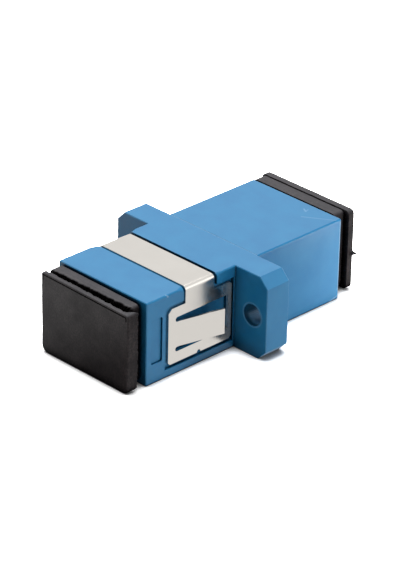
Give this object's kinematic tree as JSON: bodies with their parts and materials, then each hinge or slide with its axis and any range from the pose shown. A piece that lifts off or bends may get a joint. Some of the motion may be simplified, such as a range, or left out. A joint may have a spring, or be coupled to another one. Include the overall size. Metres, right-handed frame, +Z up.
{
  "type": "sc fibre adapter",
  "caption": "Flanged simplex fibre adapter: a rectangular port at each end with a dust cap, two screw ears, and a steel snap-in clip round the front half.",
  "frame": {"origin": "on the plug axis where the two ferrules meet, in the middle of the flange", "axes": "+X across the ears, +Y along the plug axis from the clip end to the rear port, +Z up from the broad side with the keyways, which the adapter rests on"},
  "size_m": [0.022, 0.0332, 0.0094],
  "materials": {
    "blue_housing": "moulded PBT, light blue, fine satin texture",
    "holder_plastic": "moulded polymer, off-white",
    "zirconia": "white zirconia, ground and polished",
    "spring_steel": "rolled stainless strip, bright",
    "black_rubber": "moulded soft rubber, matt black"
  },
  "bodies": {
    "adapter": {"front_housing": "blue_housing", "rear_housing": "blue_housing", "front_latch_holder": "holder_plastic", "rear_latch_holder": "holder_plastic", "alignment_sleeve": "zirconia", "spring_clip": "spring_steel"},
    "front_cap": {"front_dust_cap": "black_rubber"},
    "rear_cap": {"rear_dust_cap": "black_rubber"}
  },
  "joints": [
    {"name": "front_cap_pull", "type": "slide", "parent": "adapter", "child": "front_cap", "axis": [0, -1, 0], "range_m": [0, 0.02]},
    {"name": "rear_cap_pull", "type": "slide", "parent": "adapter", "child": "rear_cap", "axis": [0, 1, 0], "range_m": [0, 0.02]}
  ]
}
